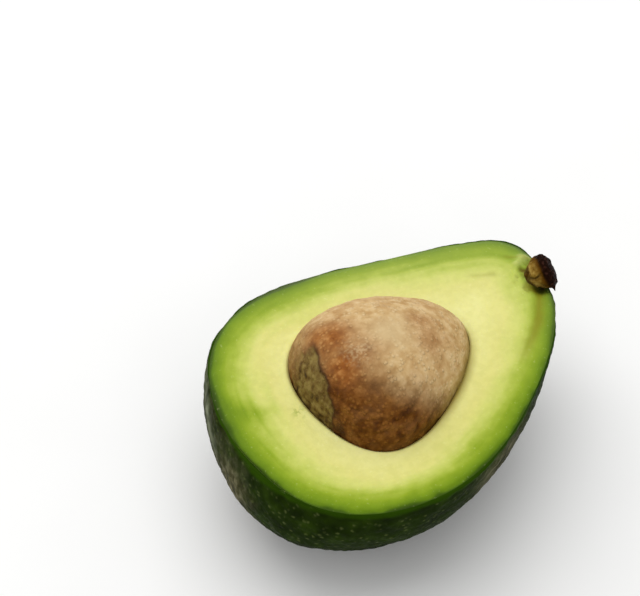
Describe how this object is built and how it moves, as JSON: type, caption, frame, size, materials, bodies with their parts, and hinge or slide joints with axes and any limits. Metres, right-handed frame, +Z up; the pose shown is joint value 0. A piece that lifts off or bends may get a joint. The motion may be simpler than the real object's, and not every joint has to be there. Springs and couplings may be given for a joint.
{
  "type": "avocado half with seed",
  "caption": "Half an avocado cut lengthwise, lying on its dark green skin with the cut face up, its seed in the flesh and the stem stub at the narrow end.",
  "frame": {"origin": "centre of the part's foot: a point of the small flat spot under the belly that the half rests on", "axes": "+X from the blunt end to the stem, +Z up, square to the level cut face, +Y across the fruit"},
  "size_m": [0.1009, 0.0769, 0.0548],
  "materials": {
    "skin": "pebbled, waxy, very dark green with small paler green specks",
    "flesh": "moist cut flesh, pale yellow round the seed and vivid green beside the skin",
    "seed": "finely wrinkled brown seed coat, tan at the top and dark at the foot, slightly moist",
    "stem": "dry, fissured, tan side and near-black cap"
  },
  "bodies": {
    "root": {"skin": "skin", "flesh": "flesh", "seed": "seed", "stem": "stem"}
  },
  "joints": []
}
